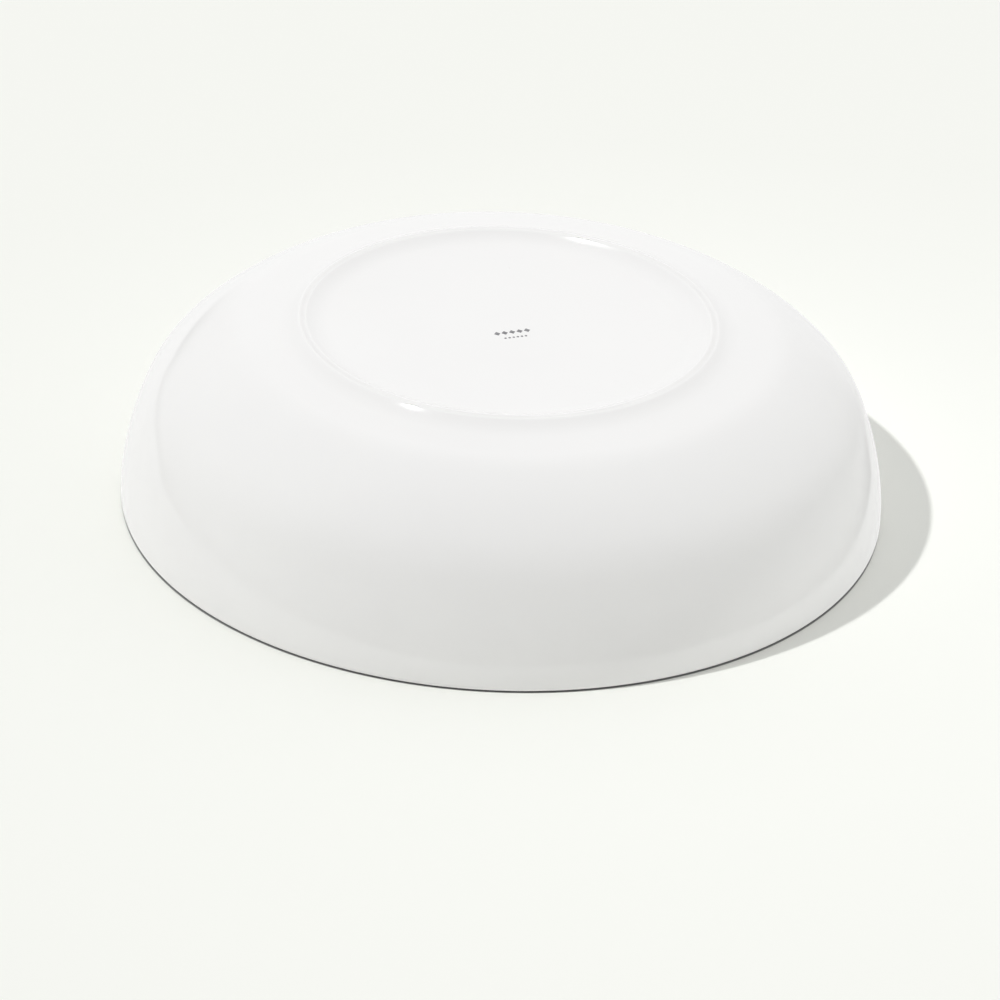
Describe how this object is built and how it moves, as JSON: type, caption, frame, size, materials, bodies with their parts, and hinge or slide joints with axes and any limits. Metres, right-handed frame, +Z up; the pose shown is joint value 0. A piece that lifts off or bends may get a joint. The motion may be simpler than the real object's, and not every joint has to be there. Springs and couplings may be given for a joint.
{
  "type": "serving bowl",
  "caption": "Round white porcelain serving bowl, wide and shallow, with a plain lip, a smooth rounded wall and a low foot ring; stored upside down on its rim.",
  "frame": {"origin": "centre of the rim, in the plane that the lip stands on when the bowl is upside down", "axes": "+Z runs up the bowl's axis from the rim to the foot ring, so the bowl is stored inverted: turn it half a turn about X or Y to use it; X and Y lie in the rim plane, and the printed mark reads along X turned 20 degrees"},
  "size_m": [0.3048, 0.3048, 0.0802],
  "materials": {
    "bisque": "dense white fired porcelain, smooth and matt, bare only on the foot's standing face and a hairline on the lip",
    "white_glaze": "clear glossy feldspathic glaze over white porcelain",
    "stamp_grey": "thin grey fired-on transfer print"
  },
  "bodies": {
    "root": {"porcelain_body": "bisque", "outer_glaze": "white_glaze", "inner_glaze": "white_glaze", "base_glaze": "white_glaze", "backstamp": "stamp_grey"}
  },
  "joints": []
}
